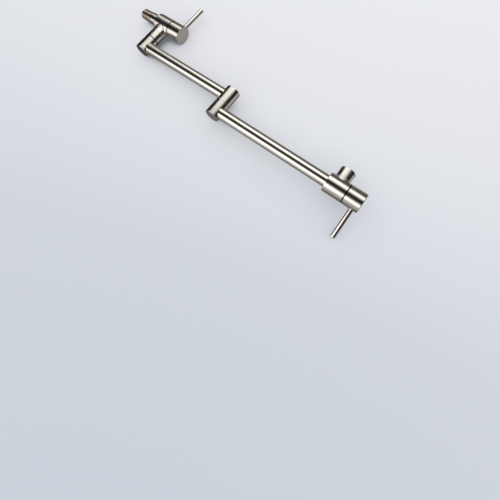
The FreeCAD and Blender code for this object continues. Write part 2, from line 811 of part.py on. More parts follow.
def shoulder():
    """Everything between the wall valve's branch and the lower arm."""
    collar = tube("branch_collar", "spindle_radius + slip_gap", "branch_radius",
                  "collar_top - branch_height", "edge_break")
    bored(collar, [
        ("0", "collar_top - branch_height - collar_recess"),
        ("washer_radius + slip_gap", "collar_top - branch_height - collar_recess"),
        ("washer_radius + slip_gap", "collar_top - branch_height"),
        ("0", "collar_top - branch_height"),
    ])
    place(collar, ("shoulder_x", "0", "branch_height"))
    foot = ("shoulder_x", "0", "branch_height - foot_length")
    place(swivel_spindle("shoulder_spindle", "shoulder_reach"), foot)
    place(spindle_rings("shoulder_rings", "shoulder_reach"), foot)
    place(wear_washer("shoulder_wear_washer"), ("shoulder_x", "0", "collar_top - collar_recess"))
    head = turning_head("shoulder_head", "branch_radius", "shoulder_top - head_start",
                        "arm_height - head_start", recess=False)
    place(head, ("shoulder_x", "0", "head_start"))
    step = ("shoulder_x", "0", "arm_height + step_height")
    place(thrust_washer("shoulder_thrust_washer"), step)
    cap = end_cap("shoulder_cap", "branch_radius", "flange_radius")
    place(cap, ("shoulder_x", "0", "shoulder_top - cap_spigot"))


def elbow_plug():
    """Plug that closes the elbow from below, with a hexagon socket and a seal groove."""
    side, middle = "flange_radius", "plug_height / 2"
    floor = "flange_radius - 2 * plug_ring_section"
    body = turned("elbow_plug", [
        ("0", "0"), (f"{side} - edge_break", "0"), (side, "edge_break"),
        (side, f"{middle} - plug_ring_section"), (floor, f"{middle} - plug_ring_section"),
        (floor, f"{middle} + plug_ring_section"), (side, f"{middle} + plug_ring_section"),
        (side, "plug_height"), ("0", "plug_height"),
    ])
    key = new_sketch(body, "XY_Plane")
    hexagon(key, "plug_key")
    pocket(body, key, "plug_key_depth", reverse=True)
    place(body, ("elbow_x", "0", "elbow_bottom"))
    ring = seal_ring("elbow_plug_ring", "flange_radius - plug_ring_section", "plug_ring_section")
    place(ring, ("elbow_x", "0", "elbow_bottom + plug_height / 2"))


def elbow():
    """The joint between the arms: the lower head hangs from the upper head's spindle."""
    head = turning_head("elbow_lower_head", "elbow_radius", "elbow_rise + elbow_drop",
                        "elbow_rise", recess=True)
    place(head, ("elbow_x", "0", "elbow_seam"), UPSIDE_DOWN)
    washer = wear_washer("elbow_wear_washer")
    place(washer, ("elbow_x", "0", "elbow_seam - recess_depth"))
    step = ("elbow_x", "0", "arm_height - step_height")
    place(thrust_washer("elbow_thrust_washer"), step, UPSIDE_DOWN)
    elbow_plug()
    foot = ("elbow_x", "0", "upper_head_start + foot_length")
    place(swivel_spindle("elbow_spindle", "elbow_reach"), foot, UPSIDE_DOWN)
    place(spindle_rings("elbow_rings", "elbow_reach"), foot, UPSIDE_DOWN)
    arm = "upper_height - upper_head_start"
    upper = arm_head("elbow_upper_head", "elbow_radius", "upper_head_height", arm)
    bored(upper, [
        ("0", "0"), ("spindle_foot + slip_gap", "0"), ("spindle_foot + slip_gap", "foot_length"),
        ("chamber_radius", "foot_length"), ("chamber_radius", "upper_head_height"),
        ("0", "upper_head_height"),
    ])
    arm_port(upper, "elbow_radius", arm)
    place(upper, ("elbow_x", "0", "upper_head_start"))
    cap = end_cap("elbow_cap", "elbow_radius", "chamber_radius - slip_gap")
    place(cap, ("elbow_x", "0", "elbow_top - cap_height - cap_spigot"))


def arm_tube(name, length, joints):
    """A thin-walled tube whose ends at the joints are coped round to fit the heads."""
    body = tube(name, "arm_radius - arm_wall", "arm_radius", length)
    for joint in joints:
        cope = new_sketch(body, "YZ_Plane")
        circle(cope, "cope_radius", "0", joint)
        pocket(body, cope, both=True)
    return body


def arms():
    """The two arm tubes; each starts at a joint's axis and runs outwards."""
    lower = arm_tube("lower_arm_tube", "lower_reach", ["0", "lower_reach"])
    place(lower, ("shoulder_x", "0", "arm_height"), ALONG_X)
    upper = arm_tube("upper_arm_tube", "upper_length", ["0"])
    place(upper, ("elbow_x", "0", "upper_height"), ALONG_X)


# ---------------------------------------------------------------- aerator

def drilled(body, hole, ring, count):
    """Drills one middle hole and a ring of holes through a disc."""
    middle = new_sketch(body, "XY_Plane")
    circle(middle, hole)
    pocket(body, middle, reverse=True)
    outer = new_sketch(body, "XY_Plane")
    circle(outer, hole, ring)
    ring_of(body, pocket(body, outer, reverse=True), count)


def aerator():
    """The screwed-in aerator: gasket, flow straightener, screen and the rim that shows."""
    def below(distance):
        return ("spout_x + branch_offset", "0", f"upper_height - thread_start - {distance}")

    gasket = tube("aerator_gasket", "aerator_thread - gasket_width", "aerator_thread",
                  "gasket_height")
    place(gasket, below("0"), UPSIDE_DOWN)
    housing = turned("aerator_housing", [
        ("aerator_bore", "0"),
        ("aerator_thread", "0"),
        ("aerator_thread", "aerator_depth - gasket_height"),
        ("aerator_radius - edge_break", "aerator_depth - gasket_height"),
        ("aerator_radius", "aerator_depth - gasket_height + edge_break"),
        ("aerator_radius", "aerator_depth - gasket_height + aerator_rim - edge_break"),
        ("aerator_radius - edge_break", "aerator_depth - gasket_height + aerator_rim"),
        ("mouth_radius", "aerator_depth - gasket_height + aerator_rim"),
        ("mouth_radius", "mouth_start - gasket_height"),
        ("aerator_bore", "mouth_start - gasket_height"),
    ])
    place(housing, below("gasket_height"), UPSIDE_DOWN)
    straightener = turned("aerator_straightener", [
        ("0", "0"), ("insert_radius", "0"), ("insert_radius", "insert_length"),
        ("insert_radius - skirt_wall", "insert_length"), ("insert_radius - skirt_wall", "flow_plate"),
        ("0", "flow_plate"),
    ])
    drilled(straightener, "flow_hole", "flow_ring", "flow_holes")
    place(straightener, below("gasket_height"), UPSIDE_DOWN)
    screen = tube("aerator_screen", "0", "insert_radius", "screen_height")
    drilled(screen, "screen_hole", "screen_ring", "screen_holes")
    place(screen, below("(mouth_start - screen_height)"), UPSIDE_DOWN)


# ---------------------------------------------------------------- the whole tap

inlet_nipple()
wall_valve_body()
valve("wall", "valve_start", "0", BRANCH_UP, 0, STRAIGHT_DOWN, grub_side=1)
shoulder()
arms()
elbow()
spout_valve_body()
valve("spout", "spout_x", "upper_height", ALONG_X, sheet.spout_handle_turn,
      sheet.spout_handle_turn, grub_side=-1)
aerator()
doc.recompute()

failed = [item.Label for item in doc.Objects if "Invalid" in item.State or "Error" in item.State]
if failed:
    raise RuntimeError(f"these did not compute: {failed}")
for piece in PIECES:
    if piece.Shape.isNull() or not piece.Shape.isValid() or not piece.Shape.Solids:
        raise RuntimeError(f"{piece.Label} has no valid solid")

os.makedirs("parts", exist_ok=True)
for piece in PIECES:
    piece.Shape.exportStep(f"parts/{piece.Label}.step")
    print(f"{piece.Label}: {len(piece.Shape.Solids)} solid(s), {piece.Shape.Volume:.0f} mm3")
print(f"{len(PIECES)} pieces")
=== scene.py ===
# %% [markdown]
# # A wall mounted pot filler in satin nickel
# The tap swings out over a stove on two tubes. Each turned part of it was shaped on a lathe, so its finish runs in
# fine rings round the part's own axis. The solids arrive ready made. This lesson gives them their metal, cuts the
# real thread and the fine mesh, and lights everything like a small product studio.

# %%
import bpy
import math
import numpy as np
from mathutils import Matrix


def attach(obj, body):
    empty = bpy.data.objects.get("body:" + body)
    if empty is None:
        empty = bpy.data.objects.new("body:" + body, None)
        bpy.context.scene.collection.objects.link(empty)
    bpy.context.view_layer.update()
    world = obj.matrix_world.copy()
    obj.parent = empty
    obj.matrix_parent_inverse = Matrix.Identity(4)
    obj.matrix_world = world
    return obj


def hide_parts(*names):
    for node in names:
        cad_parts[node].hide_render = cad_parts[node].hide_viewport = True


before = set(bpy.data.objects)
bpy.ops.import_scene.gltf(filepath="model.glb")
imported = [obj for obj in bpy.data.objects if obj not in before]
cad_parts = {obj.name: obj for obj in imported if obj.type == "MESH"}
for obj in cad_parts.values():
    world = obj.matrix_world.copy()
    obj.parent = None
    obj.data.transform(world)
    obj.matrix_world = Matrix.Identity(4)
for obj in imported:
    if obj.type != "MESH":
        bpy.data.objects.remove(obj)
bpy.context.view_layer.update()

# %% [markdown]
# ## The camera
# A camera is a place and a turn. The turn could come from a Track To constraint, but the picture is also rolled
# by more than a quarter turn, because the tap lies on a table and is seen from above. Three plain angles say it
# best: azimuth from +Y towards +X, elevation above the horizon, and the roll of the picture about the line of sight.

# %%
def camera_turn(azimuth, elevation, roll):
    """Columns are the camera's right, up and backward directions.
    Backward = (sin az cos el, cos az cos el, sin el); right is level before both are turned by the roll."""
    az, el, ro = (math.radians(a) for a in (azimuth, elevation, roll))
    back = np.array([math.sin(az) * math.cos(el), math.cos(az) * math.cos(el), math.sin(el)])
    level = np.cross(-back, (0, 0, 1))
    level /= np.linalg.norm(level)
    down = np.cross(-back, level)
    right = math.cos(ro) * level - math.sin(ro) * down
    up = -(math.sin(ro) * level + math.cos(ro) * down)
    return np.stack([right, up, back], axis=1)


CAMERA_TURN = camera_turn(17.831, 11.976, -141.301)
CAMERA_PLACE = (0.5995, 0.54542, 0.29786)

lens = bpy.data.cameras.new("camera")
lens.lens = 25.245
lens.shift_y = -0.13
camera = bpy.data.objects.new("camera", lens)
bpy.context.scene.collection.objects.link(camera)
matrix = np.eye(4)
matrix[:3, :3] = CAMERA_TURN
matrix[:3, 3] = CAMERA_PLACE
camera.matrix_world = Matrix(matrix.tolist())
bpy.context.scene.camera = camera
bpy.context.scene.view_settings.view_transform = "Standard"
print("camera looks along", (-CAMERA_TURN[:, 2]).round(3))

# %% [markdown]
# ## Node graphs in a few words
# A material is a graph of small sums. Wiring each node by hand takes pages, so this small class adds a node, sets
# its sockets and links what it is given. Numbers are set on the socket; sockets of other nodes are linked.

# %%
class Graph:
    """A node tree with short calls: add a node, chain sums, and mix."""

    def __init__(self, tree):
        self.tree = tree
        tree.nodes.clear()

    def add(self, kind, inputs=None, **settings):
        """A new node of a kind, with its settings and its inputs by name or number."""
        node = self.tree.nodes.new("ShaderNode" + kind)
        for key, value in settings.items():
            setattr(node, key, value)
        for key, value in (inputs or {}).items():
            self.put(node.inputs[key], value)
        return node

    def put(self, socket, value):
        """Links a socket to the value, or sets the value on it."""
        if isinstance(value, bpy.types.NodeSocket):
            self.tree.links.new(value, socket)
        else:
            socket.default_value = value

    def sum(self, operation, *values):
        """One operation on numbers, such as values[0] times values[1]."""
        node = self.add("Math", operation=operation)
        for socket, value in zip(node.inputs, values):
            self.put(socket, value)
        return node.outputs[0]

    def vector(self, operation, *values):
        """One operation on directions or places."""
        node = self.add("VectorMath", operation=operation)
        for socket, value in zip([s for s in node.inputs if s.type == "VECTOR"], values):
            self.put(socket, value)
        return node.outputs["Value" if operation in ("DOT_PRODUCT", "LENGTH", "DISTANCE") else "Vector"]

    def step(self, value, low, high, first=0.0, last=1.0):
        """Goes smoothly from first to last while value goes from low to high."""
        node = self.add("MapRange", {"Value": value, "From Min": low, "From Max": high, "To Min": first,
                                     "To Max": last}, interpolation_type="SMOOTHSTEP")
        return node.outputs["Result"]

    def ramp(self, value, stops):
        """A colour or grey for each place along value: stops are (place, grey or colour)."""
        node = self.add("ValToRGB", {"Fac": value})
        line = node.color_ramp
        line.interpolation = "LINEAR"
        while len(line.elements) > 1:
            line.elements.remove(line.elements[-1])
        for i, (place, shade) in enumerate(stops):
            stop = line.elements[0] if i == 0 else line.elements.new(place)
            stop.position = place
            stop.color = (*shade, 1) if isinstance(shade, tuple) else (shade, shade, shade, 1)
        return node.outputs["Color"]

    def mix(self, share, first, last):
        """first + share (last - first) for two colours."""
        node = self.add("Mix", {"Factor": share}, data_type="RGBA")
        self.put(node.inputs[6], first)
        self.put(node.inputs[7], last)
        return node.outputs[2]

    def noise(self, where, scale, detail=2.0, roughness=0.5):
        """A cloudy number round 0.5 that changes about scale times in a metre."""
        return self.add("TexNoise", {"Vector": where, "Scale": scale, "Detail": detail,
                                     "Roughness": roughness}).outputs["Fac"]


def colour(red, green, blue):
    """A colour as it reads on screen, 0 to 255, in the linear numbers that nodes want."""
    c = np.array([red, green, blue]) / 255
    linear = np.where(c <= 0.04045, c / 12.92, ((c + 0.055) / 1.055) ** 2.4)
    return (*(float(v) for v in linear), 1.0)


# %% [markdown]
# ## Surfaces from arrays
# Blender could revolve a curve with Spin or a Screw modifier. A grid computed with numpy is shorter and exact: every
# shape below is an array of points with two directions, and this helper turns the array into faces.

# %%
def surface(name, *grids, around=False, along=False, close_start=False, close_end=False):
    """A mesh from one or more grids of points[i, j, 3]. Faces join each point with its neighbours in i and j.
    around joins the last j to the first, along the last i to the first, and closed ends get one pole point each."""
    vertices, faces, first = [], [], 0
    for points in grids:
        points = np.asarray(points, float)
        rows, columns = points.shape[:2]
        index = np.arange(rows * columns).reshape(rows, columns) + first
        grid = np.vstack([index, index[:1]]) if along else index
        grid = np.hstack([grid, grid[:, :1]]) if around else grid
        quads = np.stack([grid[:-1, :-1], grid[:-1, 1:], grid[1:, 1:], grid[1:, :-1]], axis=-1)
        faces += quads.reshape(-1, 4).tolist()
        vertices.append(points.reshape(-1, 3))
        first += rows * columns
        for wanted, row, order in ((close_start, 0, 1), (close_end, -1, -1)):
            if wanted:
                vertices.append(points[row].mean(axis=0)[None])
                edge = np.stack([np.full(columns, first), np.roll(index[row], -1), index[row]][::order], axis=-1)
                faces += edge.tolist()
                first += 1
    vertices = np.vstack(vertices)
    mesh = bpy.data.meshes.new(name)
    mesh.from_pydata(vertices.tolist(), [], faces)
    mesh.polygons.foreach_set("use_smooth", np.ones(len(mesh.polygons), bool))
    mesh.update()
    piece = bpy.data.objects.new(name, mesh)
    bpy.context.scene.collection.objects.link(piece)
    print(f"{name}: {len(vertices)} points, {len(faces)} faces")
    return piece


def turns(count):
    """Evenly spaced angles round a circle, without the repeated last one."""
    return np.arange(count) * (2 * math.pi / count)


# %% [markdown]
# ## The table that it lies on
# The tap lies on a pale table that it touches with the wall valve and with the tip of the spout's lever. A real
# plane would hide the arms when they swing through it. What the eye needs from the table is its pale colour, which
# the world gives, and the soft dark along whatever lies close to it. An Ambient Occlusion node measures that, so
# the plane here shows only the shadow, and only from its front.

# %%
VALVE_TOUCH = (0.08, -0.0178)   # x and y just under the wall valve
LEVER_TOUCH = (0.58, -0.0393)   # and under the tip of the spout's lever
TABLE_MIDDLE = 0.3


def table_points(size=1.6):
    """A square grid through the two places that touch the table: y = start + slope x."""
    slope = (LEVER_TOUCH[1] - VALVE_TOUCH[1]) / (LEVER_TOUCH[0] - VALVE_TOUCH[0])
    start = VALVE_TOUCH[1] - slope * VALVE_TOUCH[0]
    across = np.linspace(-size / 2, size / 2, 9)
    x, z = np.meshgrid(TABLE_MIDDLE + across, across, indexing="ij")
    return np.stack([x, start + slope * x, z], axis=-1)


SHADE_REACH = 0.075             # metres from what lies near
SHADE_LEAN = 0.35               # the light comes more from one side, so the shade leans to the other
# how dark it is for each open share of the sky
SHADE_DEPTH = [(0.0, 0.92), (0.26, 0.88), (0.42, 0.46), (0.55, 0.28), (0.75, 0.14), (0.88, 0.06), (1.0, 0.0)]
table = surface("table", table_points())
paint = bpy.data.materials.new("table_shadow")
paint.use_nodes = True
g = Graph(paint.node_tree)
aside = CAMERA_TURN[:, 0] + CAMERA_TURN[:, 1]
upright = np.array((0.0, 1.0, 0.0)) - SHADE_LEAN * aside / np.linalg.norm(aside)
near = g.add("AmbientOcclusion", {"Distance": SHADE_REACH, "Normal": tuple(float(v) for v in upright)},
             samples=16)
seen = g.add("LightPath").outputs["Is Camera Ray"]
front = g.sum("SUBTRACT", 1.0, g.add("NewGeometry").outputs["Backfacing"])
dark = g.ramp(near.outputs["AO"], SHADE_DEPTH)
share = g.sum("MULTIPLY", g.sum("MULTIPLY", dark, seen), front)
clear = g.add("BsdfTransparent")
shade = g.add("Emission", {"Color": colour(74, 78, 86), "Strength": 1.0})
both = g.add("MixShader", {0: share, 1: clear.outputs[0], 2: shade.outputs[0]})
g.add("OutputMaterial", {"Surface": both.outputs[0]})
table.data.materials.append(paint)
for kind in ("diffuse", "glossy", "transmission", "shadow", "volume_scatter"):
    setattr(table, "visible_" + kind, False)

# %% [markdown]
# ## The pale surroundings
# The background is a bright, slightly blue white that darkens gently towards the bottom of the picture. A backdrop
# with a lamp would do it. The world alone is steadier: its colour depends on the direction only.

# %%
world = bpy.data.worlds.new("studio")
bpy.context.scene.world = world
world.use_nodes = True
g = Graph(world.node_tree)
direction = g.add("TexCoord").outputs["Generated"]
lean = CAMERA_TURN[:, 1] * 0.94 + CAMERA_TURN[:, 0] * 0.34     # the way in which it gets brighter
height = g.vector("DOT_PRODUCT", direction, tuple(float(v) for v in lean))
pale = g.ramp(g.sum("MULTIPLY_ADD", height, 0.5, 0.5),
              [(0.10, colour(203, 209, 218)[:3]), (0.38, colour(209, 214, 222)[:3]),
               (0.50, colour(219, 223, 229)[:3]), (0.60, colour(227, 229, 234)[:3]),
               (0.80, colour(236, 237, 241)[:3])])
rays = g.add("LightPath").outputs
shown = g.sum("MAXIMUM", g.sum("MAXIMUM", rays["Is Camera Ray"], rays["Is Glossy Ray"]),
              rays["Is Transmission Ray"])
plain = (0.8, 0.8, 0.8, 1.0)
g.add("OutputWorld", {"Surface": g.add("Background", {"Color": g.mix(shown, plain, pale)}).outputs[0]})
print("the world gets brighter towards", lean.round(2))

# %% [markdown]
# ## The light tent
# Polished and satin metal show what stands round them. Product photographers build a tent: bright cloth on two
# sides, dark gaps between. The gaps draw the black lines along the tubes, which make them look round. Lamps alone
# would leave the metal flat, and cards would need many planes, so the tent is one ball with a pattern of light.

# %%
TENT_CENTRE = (0.3, 0.0, 0.07)
TENT_RADIUS = 1.05


def ball_points(centre, radius, rows=24, columns=48):
    """Latitude and longitude: centre + radius (cos u cos v, cos u sin v, sin u)."""
    u = np.linspace(-math.pi / 2, math.pi / 2, rows + 2)[1:-1, None]
    v = turns(columns)[None, :]
    unit = np.stack([np.cos(u) * np.cos(v), np.cos(u) * np.sin(v), np.sin(u) + 0 * v], axis=-1)
    return np.array(centre) + radius * unit


tent = surface("tent", ball_points(TENT_CENTRE, TENT_RADIUS), around=True, close_start=True, close_end=True)
for kind in ("camera", "diffuse", "transmission", "shadow", "volume_scatter"):
    setattr(tent, "visible_" + kind, False)

# the front cloth round the long axis: degrees from +Y towards +Z, and how bright
FRONT_ROUND = [(-180, 0.0), (-100, 0.003), (-84, 0.03), (-76, 0.09), (-70, 0.17), (-64, 0.32), (-58, 0.62),
               (-52, 1.25), (-46, 2.1), (-36, 2.5), (-28, 1.85), (-21, 1.45), (-16, 1.12), (-11, 0.70), (-6, 0.22),
               (-2, 0.08), (3, 0.02), (8, 0.002), (15, 0.0), (21, 0.01), (26, 0.04), (31, 0.14), (36, 0.42),
               (41, 1.0), (46, 1.9), (53, 2.8), (66, 2.8), (74, 2.1), (84, 1.15), (98, 0.55), (115, 0.12),
               (180, 0.0)]
# along it: the direction's share in X, and how much of that light
FRONT_ALONG = [(-1.0, 0.0), (-0.90, 0.003), (-0.82, 0.01), (-0.76, 0.03), (-0.69, 0.12), (-0.61, 0.42),
               (-0.52, 0.78), (-0.38, 1.0), (0.12, 1.0), (0.25, 0.95), (0.35, 0.80), (0.45, 0.62), (0.55, 0.42),
               (0.65, 0.23), (0.73, 0.10), (0.80, 0.03), (1.0, 0.01)]
# and how far the cloth reaches further towards -X at each angle
FRONT_REACH = [(-180, 0.18), (-50, 0.18), (-36, 0.12), (-24, 0.0), (15, 0.0), (42, 0.20), (180, 0.20)]
# the table behind, in the same two directions
BACK_ROUND = [(-180, 0.22), (-168, 0.14), (-150, 0.10), (-139, 0.22), (-125, 0.29), (-110, 0.33), (-100, 0.28),
              (-90, 0.10), (-80, 0.01), (80, 0.0), (90, 0.06), (100, 0.26), (110, 0.37), (118, 0.38),
              (127, 0.24), (136, 0.15), (154, 0.14), (165, 0.26), (180, 0.22)]
BACK_ALONG = [(-1.0, 0.0), (-0.84, 0.06), (-0.76, 0.45), (-0.66, 0.90), (-0.50, 1.0), (-0.30, 1.0), (0.0, 0.9),
              (0.25, 0.7), (1.0, 0.7)]
FRONT_PEAK, BACK_PEAK = 2.8, 0.4
FRONT_END = (-0.87, -0.78)      # the share in X where the front cloth stops for good
CARD_SIDE, CARD_LIGHT = (0.78, -0.53, -0.33), 0.52      # one small grey card beyond the spout


def cloth_light(g, angle, share, around, along, peak):
    """Brightness = around(angle) times along(share): two ramps, the first scaled to its peak."""
    first = g.ramp(angle, [(d / 360 + 0.5, b / peak) for d, b in around])
    second = g.ramp(share, [(s / 2 + 0.5, b) for s, b in along])
    return g.sum("MULTIPLY", g.sum("MULTIPLY", first, second), peak)


cloth = bpy.data.materials.new("tent_light")
cloth.use_nodes = True
g = Graph(cloth.node_tree)
ray = g.vector("NORMALIZE", g.vector("SUBTRACT", g.add("TexCoord").outputs["Object"], TENT_CENTRE))
part = g.add("SeparateXYZ", {"Vector": ray}).outputs
angle = g.sum("MULTIPLY_ADD", g.sum("ARCTAN2", part["Z"], part["Y"]), 0.5 / math.pi, 0.5)
share = g.sum("MULTIPLY_ADD", part["X"], 0.5, 0.5)
reach = g.ramp(angle, [(d / 360 + 0.5, b) for d, b in FRONT_REACH])
front = cloth_light(g, angle, g.sum("MULTIPLY_ADD", reach, 0.5, share), FRONT_ROUND, FRONT_ALONG, FRONT_PEAK)
front = g.sum("MULTIPLY", front, g.step(part["X"], *FRONT_END))
back = cloth_light(g, angle, share, BACK_ROUND, BACK_ALONG, BACK_PEAK)
card = g.step(g.vector("DOT_PRODUCT", ray, CARD_SIDE), 0.84, 0.95, 0.0, CARD_LIGHT)
light = g.sum("ADD", front, g.sum("MAXIMUM", back, card))
glow = g.add("Emission", {"Color": (1.0, 0.99, 0.965, 1.0), "Strength": light})
g.add("OutputMaterial", {"Surface": glow.outputs[0]})
cloth.cycles.emission_sampling = "NONE"
tent.data.materials.append(cloth)
print("the tent is", 2 * TENT_RADIUS, "m across, and its brightest cloth", FRONT_PEAK)

# %% [markdown]
# ## Satin nickel
# The finish is nickel plate rubbed with a fine belt while the part turns, so it has very fine rings round its axis.
# An image of scratches would repeat and needs a flat layout. Noise that is squeezed along the axis gives rings
# without either. Light spreads across the rings and hardly along them, which the shader's anisotropy does when its
# tangent points along the axis. Flat ends are rubbed straight across instead, and edges are polished by hands.

# %%
def lines_across(g, place, axis, fine, wide):
    """Noise that changes fast along the axis and slowly across it: wide p + (fine - wide) (p . axis) axis."""
    along = g.sum("MULTIPLY", g.vector("DOT_PRODUCT", place, axis), fine - wide)
    stretched = g.add("VectorMath", {0: axis, 3: along}, operation="SCALE").outputs[0]
    squeezed = g.vector("MULTIPLY_ADD", place, (wide, wide, wide), stretched)
    return g.noise(squeezed, 1.0, detail=3.0, roughness=0.6)


def choose(g, share, first, last):
    """first + share (last - first) for two directions."""
    node = g.add("Mix", {"Factor": share}, data_type="VECTOR")
    g.put(node.inputs[4], first)
    g.put(node.inputs[5], last)
    return node.outputs[1]


# a painted shade of the narrow gap where two pieces meet: dark up to the first distance, clear from the second, in
# this colour
SEAM_HALF, SEAM_FADE = 0.0007, 0.0015       # dark up to the first distance, clear from the second, in metres
SEAM_SHADE_COLOUR = (0.035, 0.031, 0.027, 1.0)


def paint_seam_shade(g, base, place, seams):
    """Paints the shade of the gap where two pieces meet. Each seam is (axis, place) of that plane. Away = |p . axis
    - place|, painted dark where small.
    """
    for direction, spot in seams:
        away = g.sum("ABSOLUTE", g.sum("SUBTRACT", g.vector("DOT_PRODUCT", place, direction), spot))
        base = g.mix(g.step(away, SEAM_HALF, SEAM_FADE, 0.93, 0.0), base, SEAM_SHADE_COLOUR)
    return base


print("seams are dark within", SEAM_HALF * 1000, "mm")

# %% [markdown]
# ## One finish for every outer piece
# Real satin nickel is not even: the belt leaves fine and coarse rings, fingers leave slow patches and smudges, and
# edges shine because they are touched most. Edges could be painted by hand. A Bevel node finds them instead: where
# the rounded normal differs from the true one, an edge is near. It also makes sharp edges catch the light.

# %%
# dark, middle and light metal, each with its share of lines and patches
NICKEL_SHADES = [(0.30, (0.600, 0.568, 0.514)), (0.50, (0.675, 0.645, 0.592)), (0.70, (0.735, 0.708, 0.660))]
EDGE_COLOUR = (0.77, 0.745, 0.70, 1.0)
EDGE_RADIUS = 0.00035


def satin_nickel(name, axis, across, side=None, seams=(), tint_and_painted_shade=(1.0, 1.0, 1.0), rough=0.21):
    """Rings round the axis, straight lines over flat ends, slow patches, smudges and bright edges. side is a
    branch: (axis, direction, distance) with rings of its own beyond that distance in that direction. seams are
    (axis, place) planes where two pieces meet, and a painted shade of the gap darkens a thin line there."""
    metal = bpy.data.materials.new(name)
    metal.use_nodes = True
    g = Graph(metal.node_tree)
    coordinates = g.add("TexCoord").outputs
    place = coordinates["Object"]
    # which way it was rubbed: round its axis, round its branch's axis, or straight across a flat end
    round_axis = axis
    if side:
        beyond = g.step(g.vector("DOT_PRODUCT", place, side[1]), side[2] - 0.0002, side[2] + 0.0002)
        round_axis = choose(g, beyond, axis, side[0])
    facing = g.sum("ABSOLUTE", g.vector("DOT_PRODUCT", coordinates["Normal"], round_axis))
    flat = g.step(facing, 0.90, 0.98)
    rubbed = choose(g, flat, round_axis, across)
    # what the rubbing and the hands left
    fine = lines_across(g, place, rubbed, 6000.0, 40.0)
    coarse = lines_across(g, place, rubbed, 1300.0, 22.0)
    lines = g.sum("ADD", g.sum("MULTIPLY", fine, 0.6), g.sum("MULTIPLY", coarse, 0.4))
    patches = g.noise(place, 34.0, 3.0)
    smudges = g.step(g.noise(place, 95.0, 4.0, 0.6), 0.50, 0.72)
    soft_normal = g.add("Bevel", {"Radius": EDGE_RADIUS}, samples=4).outputs[0]
    turned_away = g.vector("DOT_PRODUCT", soft_normal, g.add("NewGeometry").outputs["Normal"])
    edge = g.step(turned_away, 0.985, 0.80)
    # colour
    shade = g.sum("ADD", g.sum("MULTIPLY", lines, 0.55), g.sum("MULTIPLY", patches, 0.45))
    # the tint darkens the whole finish: the thread's own brown, and a painted shade on the heads, caps and levers
    base = g.ramp(shade, [(share, tuple(v * t for v, t in zip(metal_colour, tint_and_painted_shade)))
                          for share, metal_colour in NICKEL_SHADES])
    # the seams get a painted shade of the gap between the pieces
    base = paint_seam_shade(g, g.mix(edge, base, EDGE_COLOUR), place, seams)
    # roughness, which is lower at edges, flat ends and branches
    gloss = g.sum("MULTIPLY_ADD", lines, 0.10, rough - 0.05)
    gloss = g.sum("MULTIPLY_ADD", smudges, 0.03, gloss)
    gloss = g.sum("MULTIPLY_ADD", edge, -0.03, gloss)
    gloss = g.sum("MULTIPLY_ADD", flat, -0.03, gloss)
    if side:
        gloss = g.sum("MULTIPLY_ADD", beyond, -0.07, gloss)
    # the lines' depth, and the direction along which light spreads least
    bump = g.add("Bump", {"Strength": 0.15, "Distance": 0.00001, "Height": lines, "Normal": soft_normal})
    tangent = g.add("VectorTransform", {"Vector": rubbed}, vector_type="VECTOR", convert_from="OBJECT",
                    convert_to="WORLD").outputs[0]
    shader = g.add("BsdfPrincipled", {"Base Color": base, "Metallic": 1.0, "Roughness": gloss,
                                      "Anisotropic": 1.0, "Tangent": tangent, "Normal": bump.outputs[0]})
    g.add("OutputMaterial", {"Surface": shader.outputs[0]})
    return metal


print("nickel shades:", [metal_colour for share, metal_colour in NICKEL_SHADES])

# %% [markdown]
# ## Each piece's own rubbing
# Tubes, valve bodies and hubs were rubbed round the long axis, the upright heads round the vertical one, and the
# levers round their own. One material with many switches could serve them all. A few named ones are easier to read
# and to change. The thread stayed unpolished, so it is rougher and a little browner. The heads, caps and levers are
# darkened with a painted shade.

# %%
X_AXIS, Z_AXIS = (1.0, 0.0, 0.0), (0.0, 0.0, 1.0)
LEAN = math.radians(29.0)       # the spout's lever leans this far from upright
LEVER_AXIS = (0.0, -math.sin(LEAN), math.cos(LEAN))
UPPER_HEIGHT = 0.0978           # of the upper arm's and spout valve's axis
BRANCH_START = 0.0178           # from a valve's axis, just outside its body
WALL_SEAM, SPOUT_SEAM, HEAD_SEAM = 0.08185, 0.56005, 0.04365
NICKEL_TUBE = satin_nickel("nickel_tube", X_AXIS, Z_AXIS)
NICKEL_HUB = satin_nickel("nickel_hub", X_AXIS, Z_AXIS, seams=[(X_AXIS, WALL_SEAM), (X_AXIS, SPOUT_SEAM)])
NICKEL_WALL = satin_nickel("nickel_wall_tee", X_AXIS, Z_AXIS, side=(Z_AXIS, Z_AXIS, BRANCH_START),
                           seams=[(X_AXIS, WALL_SEAM)])
NICKEL_SPOUT = satin_nickel("nickel_spout_tee", X_AXIS, Z_AXIS, seams=[(X_AXIS, SPOUT_SEAM)],
                            side=(Z_AXIS, (0.0, 0.0, -1.0), BRANCH_START - UPPER_HEIGHT))
# the heads, caps and levers are darker copies of the same nickel: their tint is a painted shade for the light they
# get less of
NICKEL_HEAD = satin_nickel("nickel_head", Z_AXIS, X_AXIS, tint_and_painted_shade=(0.93, 0.93, 0.93), rough=0.12,
                           seams=[(Z_AXIS, HEAD_SEAM)])
NICKEL_CAP = satin_nickel("nickel_cap", Z_AXIS, X_AXIS, tint_and_painted_shade=(0.77, 0.78, 0.81), rough=0.18)
NICKEL_LEVER = satin_nickel("nickel_lever", LEVER_AXIS, X_AXIS, tint_and_painted_shade=(0.84, 0.83, 0.82), rough=0.07)
NICKEL_WALL_LEVER = satin_nickel("nickel_wall_lever", Z_AXIS, X_AXIS, tint_and_painted_shade=(0.80, 0.79, 0.79), rough=0.07)
NICKEL_THREAD = satin_nickel("nickel_thread", X_AXIS, Z_AXIS, tint_and_painted_shade=(0.76, 0.69, 0.61), rough=0.26)
print("the valves' seams are at x =", WALL_SEAM, "and", SPOUT_SEAM, "and the shoulder's at z =", HEAD_SEAM)

